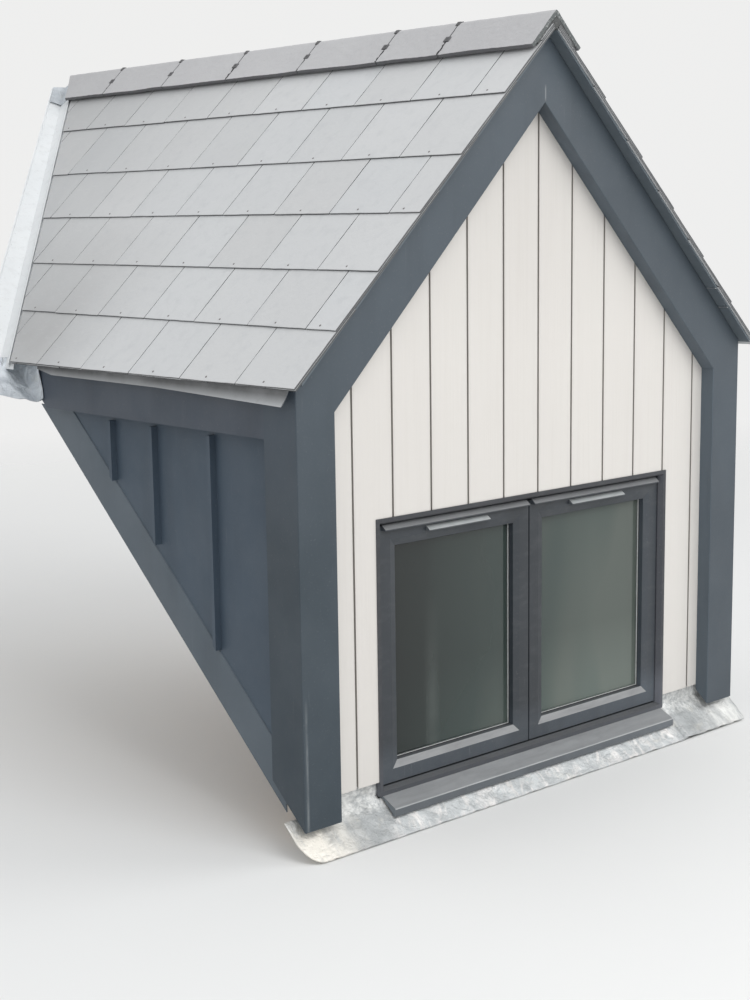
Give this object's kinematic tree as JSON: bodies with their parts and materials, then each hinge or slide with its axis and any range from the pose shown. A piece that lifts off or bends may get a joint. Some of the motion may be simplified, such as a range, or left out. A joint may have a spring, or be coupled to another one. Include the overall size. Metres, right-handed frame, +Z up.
{
  "type": "gabled dormer window",
  "caption": "Gabled roof dormer with a flush casement pair, pale boarded front, dark surround and cheeks, and a slated roof with valleys and an angled ridge.",
  "frame": {"origin": "middle of the underside of the front sole plate, on the rafters of the main roof", "axes": "+X to the right seen from the front, +Y back into the roof, +Z up"},
  "size_m": [2.168, 2.5633, 2.2279],
  "materials": {
    "timber": "sawn softwood",
    "sheathing": "sheathing ply",
    "boarding": "painted matt off-white",
    "surround": "satin anthracite",
    "cheek_sheet": "matt anthracite",
    "undercloak": "fibre cement",
    "eaves_felt": "weathered grey",
    "slate": "smooth grey slate",
    "ridge_tile": "sanded grey",
    "mortar": "rough",
    "valley_sheet": "pale grey",
    "lead": "dull lead sheet",
    "window_profile": "satin anthracite",
    "handle": "satin",
    "glass": "clear double glazing"
  },
  "bodies": {
    "root": {"cheek_flashings": "cheek_sheet", "cheek_sheathing": "sheathing", "cheek_studs": "timber", "deck_boards": "sheathing", "drip_bars": "window_profile", "eaves_soffits": "surround", "eaves_trays": "eaves_felt", "front_apron": "lead", "front_boarding": "boarding", "front_sheathing": "sheathing", "front_sole": "timber", "front_studs": "timber", "glass_units": "glass", "lay_boards": "timber", "left_bargeboard": "surround", "left_cheek_cladding": "cheek_sheet", "left_fascia": "surround", "left_post": "surround", "left_rafters": "timber", "left_sash": "window_profile", "left_slates": "slate", "left_valley": "valley_sheet", "raking_plates": "timber", "ridge_bedding": "mortar", "ridge_board": "timber", "ridge_saddle": "lead", "ridge_tiles": "ridge_tile", "right_bargeboard": "surround", "right_cheek_cladding": "cheek_sheet", "right_fascia": "surround", "right_post": "surround", "right_rafters": "timber", "right_sash": "window_profile", "right_slates": "slate", "right_valley": "valley_sheet", "side_soles": "timber", "trickle_vents": "window_profile", "valley_saddles": "lead", "verge_undercloaks": "undercloak", "wall_plates": "timber", "window_frame": "window_profile", "window_handles": "handle", "window_lintel": "timber", "window_sill": "window_profile"}
  },
  "joints": []
}
